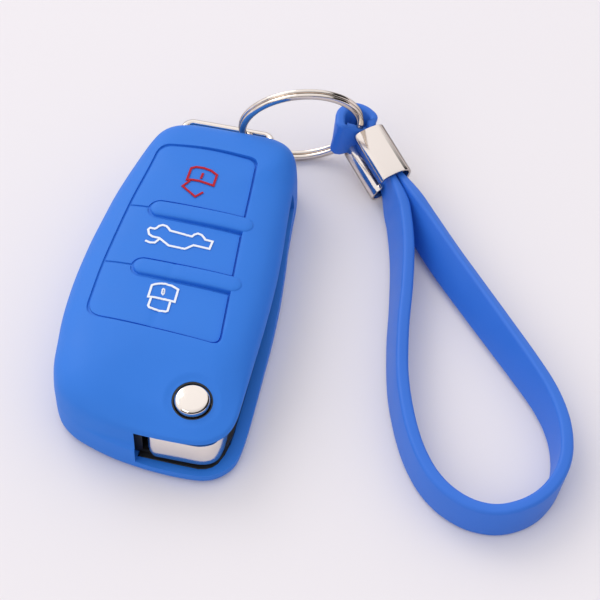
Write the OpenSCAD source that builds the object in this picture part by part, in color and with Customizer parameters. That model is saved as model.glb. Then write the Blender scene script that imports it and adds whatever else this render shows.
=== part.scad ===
// Silicone cover for a folding key, with the key, its split ring and a wrist strap.
// The back of the cover lies on z = 0. +Y points to the ring end, +X to the blade side.

/* [Cover] */
// Length of the cover
cover_l = 80; // [78:0.2:84]
// Width of the cover
cover_w = 42.4; // [41:0.2:45]
// Height of the cover at the middle of its front
cover_h = 17; // [16.6:0.1:18.5]
// Thickness of the side wall
cover_wall = 1.5; // [1.2:0.1:1.8]
// Thickness of the back wall
cover_back = 2; // [1.8:0.1:2.2]
// Thickness of the front wall
cover_front = 1.7; // [1.5:0.1:1.8]
// Reach of the lip under the blade slit
lip_out = 1; // [0.6:0.1:1.2]
// Distance over which the front rounds down to the side
shoulder_run = 11; // [9:0.5:13]
// Fall of the front towards the release button
corner_drop = 2.4; // [1.6:0.1:2.6]
// Height of the slit's upper edge at the ring end
slit_high = 10.95; // [10.9:0.05:11.3]
// Height of the window's upper edge at the hub
window_high = 12; // [11.9:0.1:12.4]
// Height of the lip at the window
lip_low = 3; // [2.8:0.1:3.4]
// Height of the lip at the ring end
lip_high = 6.3; // [5:0.1:7]

/* [Buttons] */
// Depth of the key panel under the cover's front
pad_sink = 0.45; // [0.3:0.05:0.6]
// Width of the groove round each pad
groove_w = 0.35; // [0.3:0.05:0.5]
// Travel of the pads and keys
key_travel = 0.7; // [0.4:0.1:0.7]
// Width of the raised bars between the pads
bar_w = 3.7; // [3:0.1:4.2]
// Width of a key
key_w = 13; // [10:0.5:14]
// Length of a key
key_l = 7.6; // [6:0.2:8.4]
// Diameter of the release button
release_d = 7.2; // [6.4:0.1:7.6]
// Diameter of the hole in the cover round the release button
release_hole_d = 8; // [7.8:0.1:8.4]
// Diameter of the dish round that hole
dish_d = 9.8; // [9:0.1:10.6]
// Depth of the dish
dish_depth = 1; // [0.6:0.1:1.2]
// Travel of the release button
release_travel = 1.6; // [1:0.1:1.8]

/* [Blade] */
// Distance from the blade side of the cover to the pivot
pivot_side = 10.6; // [10.4:0.1:10.9]
// Distance from the blade end of the cover to the pivot
pivot_end = 10.4; // [10.1:0.1:10.7]
// Reach of the hub from the pivot
hub_r = 8.3; // [8:0.1:8.3]
// Length of the blade from the pivot
blade_l = 54.8; // [48:0.2:55.4]
// Width of the blade
blade_w = 8; // [7:0.1:8]
// Thickness of the blade
blade_t = 2; // [1.6:0.1:2]
// Height of the blade over the table
blade_z = 8.7; // [8.6:0.05:8.75]
// Height of the hub
hub_h = 7.2; // [6.8:0.1:7.2]

/* [Ring] */
// Width of the bail over its legs
bail_w = 20.4; // [18:0.2:21]
// Diameter of the bail rod
bail_d = 1.4; // [1.2:0.1:1.6]
// Radius of the split ring, at the middle of its wire
ring_r = 12.5; // [11.8:0.1:12.6]
// Width of the ring wire across the ring
wire_w = 1.5; // [1.2:0.1:1.6]
// Thickness of one turn of the ring wire
wire_t = 0.8; // [0.6:0.05:0.85]
// Gap between the two turns
turn_gap = 0.45; // [0.42:0.01:0.5]

/* [Strap] */
// Width of the strap band
band_w = 8.1; // [7:0.1:8.2]
// Thickness of the strap band
band_t = 2.6; // [2:0.1:2.7]
// Length of the loop beyond the clamp
loop_l = 84; // [70:1:95]
// Width of the loop over the middle of the band
loop_w = 29.6; // [24:0.2:34]
// Length of the clamp
clamp_l = 12.4; // [11:0.1:13.4]
// Thickness of the clamp's sheet
clamp_sheet = 0.55; // [0.4:0.05:0.6]
// Width of the clamp's open seam
clamp_seam = 2.1; // [1.5:0.1:2.6]

/* [Hidden] */
$fn = 48;
// clearance of resting pieces, of running fits, and overrun of cuts
fit = 0.1;
run_fit = 0.05;
over = 0.5;

// front view outline, as shares of the cover's width and length, from the slit side round
outline_shares = [
  [0.462, -0.061], [0.453, 0.049], [0.434, 0.16], [0.413, 0.252], [0.396, 0.338],
  [0.385, 0.399], [0.366, 0.445], [0.328, 0.477], [0.262, 0.494], [0.16, 0.5],
  [0, 0.5], [-0.152, 0.498], [-0.23, 0.492], [-0.293, 0.478], [-0.343, 0.452],
  [-0.38, 0.412], [-0.409, 0.362], [-0.434, 0.302], [-0.459, 0.224], [-0.477, 0.135],
  [-0.491, 0.049], [-0.497, -0.049], [-0.493, -0.129], [-0.484, -0.19], [-0.467, -0.252],
  [-0.446, -0.319], [-0.412, -0.37], [-0.367, -0.408], [-0.292, -0.438], [-0.198, -0.456],
  [-0.094, -0.467], [0.024, -0.474], [0.142, -0.476], [0.259, -0.475], [0.344, -0.468],
  [0.403, -0.45], [0.446, -0.42], [0.465, -0.378], [0.467, -0.309], [0.465, -0.186]];
// reach of the lip at each of those points, as shares of lip_out
lip_shares = [
  0.5, 0.3, 0.12, 0, 0, 0, 0, 0, 0, 0, 0, 0, 0, 0, 0, 0, 0, 0, 0, 0,
  0, 0, 0, 0, 0, 0, 0, 0, 0.05, 0.2, 0.6, 0.95, 1.35, 1.6, 1.7, 1.6, 1.4, 1.05, 0.95, 0.7];
// side profile: share of the height, share of shoulder_run, share of the lip
profile_shares = [
  [0, 0.17, 1], [0.03, 0.07, 1], [0.09, 0.01, 1], [0.3, 0, 1], [0.4, 0, 0.9], [0.46, 0, 0],
  [0.66, 0.03, 0], [0.78, 0.11, 0], [0.885, 0.29, 0], [0.955, 0.59, 0], [0.984, 1, 0],
  [0.996, 1.35, 0], [0.9985, 2, 0]];
// how much fuller the ring end is than the sides
end_full_share = 0.5;
// how near the middle line the innermost ring of the form comes
core_share = 0.08;

// key panel corners: shares of width and length, side signs for its inset, corner radius share
panel_shares = [
  [0.203, 0.385, -1, -1, 0.05], [-0.045, 0.396, 0, -1, 0.12], [-0.297, 0.379, 1, -1, 0.06],
  [-0.342, 0.169, 1, 0, 0.1], [-0.363, -0.041, 1, 0, 0.1], [-0.358, -0.202, 1, 1, 0.08],
  [0.306, -0.215, -1, 1, 0.05], [0.234, 0.169, -1, 0, 0.1]];
bar_y_shares = [0.164, -0.0275];
bar_left_shares = [-0.226, -0.207];
bar_right_shares = [0.279, 0.314];
bar_rise = 0.25;
bar_fade = 0.95;
bar_round_share = 0.93;

// heights inside
fob_back = cover_back + fit;
fob_front = cover_h - cover_front - fit;
split_z = blade_z - fit - run_fit;
hub_clear = 1.4;
hub_z = lip_low + hub_clear;
hub_top = hub_z + hub_h;
crown_share = 0.955;
release_rise = 1.55;
release_flange = 0.5;
release_top = cover_h * crown_share - corner_drop + release_rise;
release_low = hub_top - release_flange;
hub_floor = 2.4;
hub_bore_r = 4.3;
pocket_share = 1.3;
pocket_r = hub_r * pocket_share;
pocket_gap = 0.2;
pocket_low = hub_z - pocket_gap;
pocket_high = hub_top + pocket_gap;
pivot = [cover_w / 2 - pivot_side, pivot_end - cover_l / 2];
blade_off = 2;
blade_x = pivot.x + blade_off;
blade_seat = 4.9;
pin_at = 6.6;
pin_r = 0.8;
pin_floor = 1;
groove_at_share = 1.28;
groove_tip_share = 0.8;
post_r = 2;

// key field and inner parts
field_sink = 1.9;
field_z = fob_front - field_sink;
roof_t = 0.9;
roof_z = field_z - roof_t;
key_rise = 1.4;
key_top = field_z + key_rise;
flange_t = 0.5;
flange_reach = 0.8;
cavity_left_share = 0.3585;
cavity_low_share = 0.195;
cavity_high_share = 0.345;
cavity_wall = 1.6;
cavity_left = -cover_w * cavity_left_share;
cavity_right = blade_x - blade_w / 2 - cavity_wall;
cavity_low = -cover_l * cavity_low_share;
cavity_high = cover_l * cavity_high_share;
cavity_mid = (cavity_left + cavity_right) / 2;
key_y_shares = [0.28, 0.068, -0.12];
key_ys = [for (s = key_y_shares) cover_l * s];
ledge = 0.8;
floor_t = 1.5;
board_t = 1;
board_top = split_z + board_t;
tact_w = 5.2;
tact_h = roof_z - fit - flange_t - key_travel - board_top - run_fit;
chip_t = 1.1;
chip_w = 4.4;
chip_edge = 0.7;
coil_w = 4.2;
coil_l = 8;
coil_wire = 1;
led_l = 2;
cell_share = 0.45;
cell_y_share = -0.025;
cell_r = (cavity_right - cavity_left) * cell_share;
cell_h = 3.2;
cell_at = [cavity_mid, cover_l * cell_y_share];
clip_t = 0.2;
clip_w = 4;
clip_gap = 0.55;
clip_post_t = 0.5;
cell_z = fob_back + floor_t + clip_t + 3 * run_fit;
screw_y_share = 0.4375;
screw_r = 1;
screw_l = 10.4;
head_r = 1.9;
head_h = 1.5;
screw_at = [-cover_w * 0.033, cover_l * screw_y_share];

// ring bail
bail_x = screw_at.x;
bail_z = 9;
bail_bend = 1.9;
bail_out = 4.3;
bail_y = cover_l / 2 + bail_out;
bail_in = 12;
bail_foot = 3;

// split ring: centre, lean and turn
ring_off = [15.6, 0.6, 4.35];
ring_c = [bail_x, bail_y, bail_z] + ring_off;
ring_lean = 11.6;
ring_turn = 17.9;
jog_at = 40;
jog_span = 40;
turn_step = wire_t + turn_gap;
wire_h = wire_t + turn_step;

// fold of the strap round the ring, and the clamp
fold_at = -21.7;
fold_clear = 1.6;
clamp_turn = 131.2;
clamp_pitch = 13.2;
clamp_roll = 18;
mouth_gap = 2.5;
mouth_side = 0.5;
fold_slack = 0.6;
squeeze_share = 0.8;
layer_gap = 0.9;
mouth_step = 0.22;
band_edge = 0.45;
seam_at = 2;
clamp_round = 1.5;
loop_turn = -62.6;

// ---- curves ----

function unit(v) = v / norm(v);
function clamp(x, a, b) = min(max(x, a), b);
function ease(t) = let (s = clamp(t, 0, 1)) s * s * (3 - 2 * s);
function mix(a, b, t) = a + (b - a) * t;

// point at share t between b and c on a smooth curve through a, b, c and d
function smooth(a, b, c, d, t) =
  0.5 * (2 * b + (c - a) * t + (2 * a - 5 * b + 4 * c - d) * t * t
    + (3 * b - a - 3 * c + d) * t * t * t);

// closed list with m points for each given one
function round_list(p, m) = let (n = len(p)) [
  for (i = [0 : n - 1], k = [0 : m - 1])
    smooth(p[(i + n - 1) % n], p[i], p[(i + 1) % n], p[(i + 2) % n], k / m)];

// open list with m points for each given stretch
function open_list(p, m) = let (n = len(p)) concat([
  for (i = [0 : n - 2], k = [0 : m - 1])
    smooth(p[max(i - 1, 0)], p[i], p[i + 1], p[min(i + 2, n - 1)], k / m)], [p[n - 1]]);

// polygon points with each corner rounded over its length r, the third value
function corners(p) = let (n = len(p)) [
  for (i = [0 : n - 1])
    let (c = [p[i].x, p[i].y], r = p[i][2])
    let (a = p[(i + n - 1) % n], b = p[(i + 1) % n])
    let (u = c + r * unit([a.x, a.y] - c), v = c + r * unit([b.x, b.y] - c))
    for (t = [0 : 0.25 : 1])
      (1 - t) * (1 - t) * u + 2 * t * (1 - t) * c + t * t * v];

// tube through rings of points, all rings alike in count
module skin(rings) {
  n = len(rings[0]);
  m = len(rings);
  pts = [for (r = rings) each r];
  faces = concat(
    [[for (j = [n - 1 : -1 : 0]) j]],
    [for (i = [0 : m - 2], j = [0 : n - 1])
      [i * n + j, i * n + (j + 1) % n, (i + 1) * n + (j + 1) % n]],
    [for (i = [0 : m - 2], j = [0 : n - 1])
      [i * n + j, (i + 1) * n + (j + 1) % n, (i + 1) * n + j]],
    [[for (j = [0 : n - 1]) (m - 1) * n + j]]);
  polyhedron(pts, faces);
}

// ---- cover form ----

spine_x = -cover_w * 0.02;
spine_y = (cover_l - cover_w) / 2;
function spine(p) = [spine_x, clamp(p.y, -spine_y, spine_y)];
function end_full(p) = 1 - end_full_share * ease((p.y / cover_l - 0.33) / 0.14);
function fall(p) = ease((-p.y / cover_l - 0.17) / 0.22) * ease((p.x / cover_w + 0.33) / 0.5);

// one ring of the form: inset from the outline, its share of the lip and its height share
function form_ring(m, inset, row, z0, z1) =
  let (o = round_list([for (i = [0 : len(outline_shares) - 1])
    [outline_shares[i].x * cover_w, outline_shares[i].y * cover_l,
     max(lip_shares[i], 0) * lip_out]], m))
  [for (q = o)
    let (p = [q.x, q.y], c = spine(p), d = norm(p - c))
    let (lip = inset > 0 ? 0 : q.z * row[2])
    let (r = c + unit(p - c) * max(d + lip - inset - row[1] * shoulder_run * end_full(p),
      d * core_share))
    let (drop = corner_drop * fall(r) * ease((row[0] - 0.62) / 0.3))
    [r.x, r.y, z0 + row[0] * (z1 - z0) - drop]];

// closed form between heights z0 and z1, inset from the outline
module form(inset, z0, z1, m) {
  rings = [for (row = profile_shares) form_ring(m, inset, row, z0, z1)];
  n = len(rings[0]);
  k = len(rings);
  low = [spine_x, 0, z0];
  high = [spine_x, 0, z1];
  pts = concat([for (r = rings) each r], [low, high]);
  polyhedron(pts, concat(
    [for (j = [0 : n - 1]) [j, (j + 1) % n, k * n]],
    [for (i = [0 : k - 2], j = [0 : n - 1])
      [i * n + j, (i + 1) * n + (j + 1) % n, i * n + (j + 1) % n]],
    [for (i = [0 : k - 2], j = [0 : n - 1])
      [i * n + j, (i + 1) * n + j, (i + 1) * n + (j + 1) % n]],
    [for (j = [0 : n - 1]) [(k - 1) * n + (j + 1) % n, (k - 1) * n + j, k * n + 1]]));
}

module outer_form() form(0, 0, cover_h, 2);
module inner_form() form(cover_wall, cover_back, cover_h - cover_front, 1);
module fob_form() form(cover_wall + fit, fob_back, fob_front, 1);

// ---- front panel ----

module panel_shape(inset) {
  polygon(corners([for (s = panel_shares)
    [s[0] * cover_w + s[2] * inset, s[1] * cover_l + s[3] * inset, s[4] * cover_w]]));
}

module bar_shape(i, grow) {
  y = bar_y_shares[i] * cover_l;
  x0 = bar_left_shares[i] * cover_w + bar_w / 2;
  x1 = bar_right_shares[i] * cover_w - bar_w / 2;
  r = bar_w / 2 + grow;
  polygon([
    for (a = [90 : 15 : 270]) [x0 + r * cos(a), y + r * sin(a)],
    for (a = [-90 : 15 : 90]) [x1 + r * cos(a), y + r * sin(a)]]);
}

// raised bar, its right end sinks into the shoulder
module bar(i) {
  y = bar_y_shares[i] * cover_l;
  x0 = bar_left_shares[i] * cover_w + bar_w / 2;
  x1 = bar_right_shares[i] * cover_w - bar_w / 2;
  d = bar_w * bar_round_share;
  z = cover_h + bar_rise - d / 2;
  hull() {
    translate([x0, y, z]) sphere(d = d, $fn = 20);
    translate([x1, y, z - bar_fade]) sphere(d = d, $fn = 20);
    for (x = [x0, x1])
      translate([x, y, cover_h - cover_front - over]) cylinder(d = bar_w, h = over, $fn = 20);
  }
}

// one pad of the panel: between heights y0 and y1 in front view
module pad(y0, y1) {
  intersection() {
    difference() {
      form(0, 0, cover_h - pad_sink, 1);
      inner_form();
    }
    translate([0, 0, cover_h / 2])
      linear_extrude(cover_h) difference() {
        intersection() {
          panel_shape(groove_w);
          translate([-cover_w / 2, y0]) square([cover_w, y1 - y0]);
        }
        bar_shape(0, groove_w);
        bar_shape(1, groove_w);
      }
  }
}

// ---- cover ----

module slit_cut() {
  l = cover_l / 2;
  rotate([90, 0, 90]) translate([0, 0, cover_w * 0.12])
    linear_extrude(cover_w / 2)
      polygon([[-l - lip_out * 2, lip_low], [-l * 0.6, lip_low],
        [l * 0.3, mix(lip_low, lip_high, 0.8)], [l * 0.7, lip_high],
        [l * 0.7, slit_high], [0, slit_high], [-l * 0.5, window_high],
        [-l - lip_out * 2, window_high]]);
  translate([cover_w * 0.021, -l - lip_out * 2, lip_low])
    cube([cover_w / 2, l * 0.4, window_high - lip_low]);
}

module cover() color("royalblue") {
  bail_slot = bail_d + 2 * fit;
  difference() {
    union() {
      difference() {
        outer_form();
        translate([0, 0, fob_front - cover_front - pad_sink]) linear_extrude(cover_h)
          panel_shape(0);
      }
      bar(0);
      bar(1);
    }
    inner_form();
    slit_cut();
    translate([bail_x - bail_w / 2 - fit, cover_l * 0.38, bail_z - bail_slot / 2])
      cube([bail_w + 2 * fit, cover_l * 0.2, bail_slot]);
    translate([pivot.x, pivot.y, window_high]) cylinder(d = release_hole_d, h = cover_h);
    translate([pivot.x, pivot.y, cover_h * crown_share - corner_drop - dish_depth])
      cylinder(d1 = release_hole_d, d2 = dish_d + 2 * over, h = dish_depth + over);
  }
}

module unlock_pad() color("royalblue")
  pad(bar_y_shares[0] * cover_l + groove_w / 2, cover_l / 2);
module boot_pad() color("royalblue")
  pad(bar_y_shares[1] * cover_l + groove_w / 2, bar_y_shares[0] * cover_l - groove_w / 2);
module lock_pad() color("royalblue")
  pad(-cover_l / 2, bar_y_shares[1] * cover_l - groove_w / 2);

// ---- fob shells ----

module cavity(inset, z0, z1) {
  translate([cavity_left + inset, cavity_low + inset, z0])
    cube([cavity_right - cavity_left - 2 * inset, cavity_high - cavity_low - 2 * inset,
      z1 - z0]);
}

// blade and hub room, shared by both shells
module blade_room(z0) {
  translate([pivot.x, pivot.y, pocket_low])
    cylinder(r = pocket_r, h = pocket_high - pocket_low, $fn = 72);
  translate([pivot.x, pivot.y - pocket_r - over, pocket_low])
    cube([cover_w / 2, pocket_r + over, pocket_high - pocket_low]);
  translate([blade_x - blade_w / 2 - 2 * fit, pivot.y, z0])
    cube([cover_w / 2, blade_l + 4 * fit, split_z + blade_t + 3 * fit - z0]);
}

// slots for the legs of the bail
module bail_slots() {
  gap = bail_d + 2 * fit;
  half = bail_w / 2 - bail_d / 2;
  for (s = [-1, 1]) {
    translate([bail_x + s * half - gap / 2, bail_y - bail_in - gap / 2, bail_z - gap / 2])
      cube([gap, bail_in + gap, gap]);
    translate([bail_x + s * (half - bail_foot / 2) - bail_foot / 2 - gap / 2,
      bail_y - bail_in - gap / 2, bail_z - gap / 2])
      cube([bail_foot + gap, gap, gap]);
  }
}

module bail_rod(r) {
  half = bail_w / 2 - bail_d / 2;
  bar_l = 2 * (half - bail_bend);
  translate([bail_x, bail_y, bail_z]) {
    translate([-bar_l / 2, 0, 0]) rotate([0, 90, 0]) cylinder(r = r, h = bar_l, $fn = 24);
    for (s = [-1, 1]) {
      translate([s * bar_l / 2, -bail_bend, 0]) rotate([0, 0, s > 0 ? 0 : 90])
        rotate_extrude(angle = 90, $fn = 48) translate([bail_bend, 0]) circle(r, $fn = 24);
      translate([s * half, -bail_bend, 0]) rotate([90, 0, 0])
        cylinder(r = r, h = bail_in - bail_bend, $fn = 24);
      translate([s * half, -bail_in, 0]) sphere(r, $fn = 24);
      translate([s * half, -bail_in, 0]) rotate([0, -90 * s, 0])
        cylinder(r = r, h = bail_foot, $fn = 24);
    }
  }
}

module screw_holes(grow) {
  translate([screw_at.x, screw_at.y, fob_back]) {
    translate([0, 0, -over]) cylinder(r = screw_r + grow, h = screw_l + over + grow, $fn = 32);
    translate([0, 0, -over]) cylinder(r = head_r + grow, h = head_h + over + grow, $fn = 32);
  }
}

module rear_shell() color("#202226") {
  difference() {
    fob_form();
    translate([-cover_w, -cover_l, split_z]) cube([2 * cover_w, 2 * cover_l, cover_h]);
    cavity(ledge, fob_back + floor_t, cover_h);
    translate([cell_at.x, cell_at.y, fob_back + floor_t])
      cylinder(r = cell_r + 2 * ledge / 2, h = cover_h, $fn = 72);
    blade_room(split_z - fit);
    bail_slots();
    screw_holes(run_fit);
    translate([pivot.x, pivot.y, fob_back + over]) cylinder(r = post_r + run_fit, h = cover_h);
  }
}

module front_shell() color("#1a1c20") {
  difference() {
    fob_form();
    translate([-cover_w, -cover_l, -over]) cube([2 * cover_w, 2 * cover_l, split_z + over]);
    cavity(0, 0, roof_z);
    blade_room(split_z - over);
    bail_slots();
    screw_holes(run_fit);
    translate([0, 0, field_z]) linear_extrude(cover_h) panel_shape(-groove_w - fit);
    for (y = key_ys)
      translate([cavity_mid - key_w / 2 - fit, y - key_l / 2 - fit, roof_z - over])
        cube([key_w + 2 * fit, key_l + 2 * fit, roof_t + 2 * over]);
    translate([pivot.x, pivot.y, split_z]) cylinder(r = release_d / 2 + run_fit, h = cover_h);
  }
}

// ---- keys and electronics ----

module key(y) color("#2a2c31") {
  translate([cavity_mid - key_w / 2, y - key_l / 2, roof_z - fit - over])
    cube([key_w, key_l, key_top - roof_z + fit + over]);
  translate([cavity_mid - key_w / 2 - flange_reach, y - key_l / 2 - flange_reach,
    roof_z - fit - flange_t])
    cube([key_w + 2 * flange_reach, key_l + 2 * flange_reach, flange_t]);
}

module unlock_key() key(key_ys[0]);
module boot_key() key(key_ys[1]);
module lock_key() key(key_ys[2]);

module keypad() color("#33363c") {
  difference() {
    cavity(run_fit, roof_z - fit - flange_t - fit, roof_z - run_fit);
    for (y = key_ys)
      translate([cavity_mid - key_w / 2 - flange_reach - 2 * fit,
        y - key_l / 2 - flange_reach - 2 * fit, 0])
        cube([key_w + 2 * flange_reach + 4 * fit, key_l + 2 * flange_reach + 4 * fit, cover_h]);
  }
}

module circuit_board() color("darkgreen") {
  cavity(fit, split_z + run_fit, board_top);
}

module tact_switches() color("gainsboro") {
  for (y = key_ys) translate([cavity_mid, y, board_top + run_fit]) {
    translate([-tact_w / 2, -tact_w / 2, 0]) cube([tact_w, tact_w, tact_h * 0.7]);
    cylinder(d = tact_w * 0.55, h = tact_h, $fn = 32);
  }
}

// a chip at the left edge of the board, at a share of the cover's length
module chip(y_share, size) translate([cavity_left + chip_edge, cover_l * y_share - size.y / 2,
  board_top + run_fit]) cube(size);
module radio_chip() color("dimgray") chip(0.05, [chip_w, chip_w, chip_t]);
module control_chip() color("dimgray") chip(0.181, [chip_w, chip_w, chip_t]);
module indicator_led() color("firebrick")
  translate([cavity_mid - led_l / 2, cavity_high - led_l, board_top + run_fit])
    cube([led_l, led_l * 0.6, chip_t]);

// antenna: a wound frame on the board
module antenna_coil() color("peru")
  translate([cavity_left + chip_edge, cavity_low + coil_l / 2, board_top + run_fit]) difference() {
    cube([coil_w, coil_l, chip_t]);
    translate([coil_wire, coil_wire, -over])
      cube([coil_w - 2 * coil_wire, coil_l - 2 * coil_wire, chip_t + 2 * over]);
  }

module battery() color("silver") translate([cell_at.x, cell_at.y, cell_z]) {
  cylinder(r = cell_r, h = cell_h * 0.75, $fn = 72);
  cylinder(r = cell_r * 0.88, h = cell_h, $fn = 72);
}

module clip_post(x, z0) translate([x, cell_at.y - clip_w / 2, z0])
  cube([clip_post_t, clip_w, split_z - z0]);

module battery_clip_plus() color("tan") {
  reach = cell_r + clip_gap;
  z = cell_z + cell_h + run_fit;
  translate([cell_at.x - reach, cell_at.y - clip_w / 2, z])
    cube([reach, clip_w, clip_t]);
  clip_post(cell_at.x - reach, z);
}

module battery_clip_minus() color("tan") {
  reach = cell_r + clip_gap;
  z = cell_z - run_fit - clip_t;
  translate([cell_at.x, cell_at.y - clip_w / 2, z]) cube([reach, clip_w, clip_t]);
  clip_post(cell_at.x + reach - clip_post_t, z);
}

module case_screw() color("silver") difference() {
  screw_shape();
  translate([screw_at.x - head_r * 0.8, screw_at.y - head_r * 0.15, fob_back - over])
    cube([head_r * 1.6, head_r * 0.3, over + head_h * 0.45]);
}
module screw_shape() translate([screw_at.x, screw_at.y, fob_back]) {
  cylinder(r = screw_r, h = screw_l, $fn = 32);
  cylinder(r = head_r, h = head_h, $fn = 32);
}

// ---- flip blade ----

// hub corners and their rounding, as shares of hub_r
hub_shares = [[0.807, -1, 0.386], [0.807, 0.482, 0.12], [0.771, 0.988, 0.193],
  [-0.277, 0.988, 0.193], [-0.904, 0.361, 0.241], [-0.904, -1, 0.289]];

module pivot_post() color("silver")
  translate([pivot.x, pivot.y, fob_back + over + run_fit])
    cylinder(r = post_r, h = hub_z + hub_floor - fob_back - over - run_fit);

module blade_hub() color("silver") {
  difference() {
    translate([pivot.x, pivot.y, hub_z]) linear_extrude(hub_h)
      polygon(corners(hub_shares * hub_r));
    translate([pivot.x, pivot.y, hub_z - over]) cylinder(r = post_r + run_fit, h = hub_h);
    translate([pivot.x, pivot.y, hub_z + hub_floor]) cylinder(r = hub_bore_r, h = hub_h);
    translate([blade_x - blade_w / 2 - run_fit, pivot.y + blade_seat, blade_z - run_fit])
      cube([blade_w + 2 * run_fit, hub_r, blade_t + 2 * run_fit]);
    translate([blade_x, pivot.y + pin_at, hub_z + pin_floor])
      cylinder(r = pin_r + run_fit / 2, h = hub_h);
  }
}

module key_blade() color("lightgray") {
  y0 = pivot.y + blade_seat + fit;
  y1 = pivot.y + blade_l;
  difference() {
    translate([0, 0, blade_z]) linear_extrude(blade_t)
      polygon([[blade_x - blade_w / 2, y0], [blade_x + blade_w / 2, y0],
        [blade_x + blade_w / 2, y1 - blade_w * 0.55], [blade_x + blade_w * 0.12, y1],
        [blade_x - blade_w * 0.12, y1], [blade_x - blade_w / 2, y1 - blade_w * 0.45]]);
    translate([blade_x, pivot.y + pin_at, blade_z - over])
      cylinder(r = pin_r + run_fit / 2, h = blade_t + 2 * over);
    for (z = [blade_z - over, blade_z + blade_t * 0.75])
      translate([blade_x - blade_w * 0.14, pivot.y + hub_r * groove_at_share, z])
        cube([blade_w * 0.28, blade_l - hub_r * groove_at_share - blade_w * groove_tip_share,
          blade_t * 0.25 + over]);
  }
}

module blade_pin() color("silver")
  translate([blade_x, pivot.y + pin_at, hub_z + pin_floor + run_fit])
    cylinder(r = pin_r, h = hub_h - pin_floor - 2 * run_fit);

// flat wound spring, just out of reach of the pressed button
spring_h = release_low - release_travel - hub_z - hub_floor - 4 * fit;
spring_r = hub_bore_r - 3 * fit;
spring_wall = 1;
module flip_spring() color("silver") translate([pivot.x, pivot.y, hub_z + hub_floor + fit])
  difference() {
    cylinder(r = spring_r, h = spring_h);
    translate([0, 0, -over]) cylinder(r = spring_r - spring_wall, h = spring_h + 2 * over);
  }

// release button: bevelled head, guided in the front shell, with a flange under its roof
module release_button() color("lightgray") translate([pivot.x, pivot.y, 0]) {
  bevel = release_d * 0.09;
  translate([0, 0, release_low]) cylinder(d = release_d, h = release_top - bevel - release_low);
  translate([0, 0, release_top - bevel])
    cylinder(d1 = release_d, d2 = release_d - 2 * bevel, h = bevel);
  translate([0, 0, release_low]) cylinder(r = hub_bore_r - 2 * fit, h = release_flange);
}

coil_r = 1.9;
coil_gauge = 0.6;
module button_spring() color("silver")
  translate([pivot.x, pivot.y, hub_z + hub_floor + run_fit]) difference() {
    cylinder(r = coil_r, h = release_low - hub_z - hub_floor - 2 * run_fit);
    translate([0, 0, -over]) cylinder(r = coil_r - coil_gauge, h = hub_h + 2 * over);
  }

module ring_bail() color("silver") bail_rod(bail_d / 2);

// ---- split ring ----

ring_h = [cos(ring_turn), sin(ring_turn), 0];
ring_v = [sin(ring_turn) * sin(ring_lean), -cos(ring_turn) * sin(ring_lean), cos(ring_lean)];
ring_n = cross(ring_h, ring_v);

// the wire's middle: two turns, the first climbs to the second over the jog
ring_steps = 24;
jog_start = 360 - jog_span;
function ring_level(a) = turn_step * (ease((a - jog_start) / jog_span) - 0.5);
ring_turns = [for (i = [0 : 2 * ring_steps - 3]) i * 360 / ring_steps];
function ring_point(a) =
  [ring_r * cos(a + jog_at), ring_r * sin(a + jog_at), ring_level(a)];
wire_w2 = wire_w / 2;
wire_t2 = wire_t / 2;
wire_section = [[wire_w2, -wire_t2 / 2], [wire_w2, wire_t2 / 2], [wire_w2 * 0.5, wire_t2],
  [-wire_w2 * 0.8, wire_t2], [-wire_w2, 0], [-wire_w2 * 0.8, -wire_t2], [wire_w2 * 0.5, -wire_t2]];
function ring_section(a) = let (p = ring_point(a), r = unit([p.x, p.y]))
  [for (s = wire_section) [p.x + r.x * s.x, p.y + r.y * s.x, p.z + s.y]];
ring_rings = [for (a = ring_turns) ring_section(a)];

// least distance between points of the wire more than a quarter turn apart
self_gap = min([for (i = [0 : len(ring_rings) - 1], j = [i + 6 : 1 : len(ring_rings) - 1])
  for (p = ring_rings[i], q = ring_rings[j]) norm(p - q)]);

module split_ring() color("silver") {
  echo(ring_self_gap = self_gap);
  multmatrix([
    [ring_h.x, ring_v.x, ring_n.x, ring_c.x],
    [ring_h.y, ring_v.y, ring_n.y, ring_c.y],
    [ring_h.z, ring_v.z, ring_n.z, ring_c.z]])
    skin(ring_rings);
}

// ---- strap and clamp ----

// a: from the loop to the ring, t: across the two layers, h: across the band
clamp_a = [cos(clamp_turn) * cos(clamp_pitch), sin(clamp_turn) * cos(clamp_pitch),
  sin(clamp_pitch)];
flat_t = unit(cross(clamp_a, [0, 0, 1]));
flat_h = cross(flat_t, clamp_a);
clamp_t = flat_t * cos(clamp_roll) - flat_h * sin(clamp_roll);
clamp_h = flat_h * cos(clamp_roll) + flat_t * sin(clamp_roll);
fold_c = ring_c + ring_r * (cos(fold_at) * ring_h + sin(fold_at) * ring_v);
clamp_c = fold_c - (clamp_l + mouth_gap + fold_slack) * clamp_a + mouth_side * clamp_t;
squeezed_t = band_t * squeeze_share;
layer_off = (squeezed_t + layer_gap) / 2;
fold_r = wire_h / 2 + fold_clear + squeezed_t / 2;
clamp_in_t = 2 * (layer_off + squeezed_t / 2) + 3 * fit;
clamp_in_w = band_w + 3 * fit;

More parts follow.
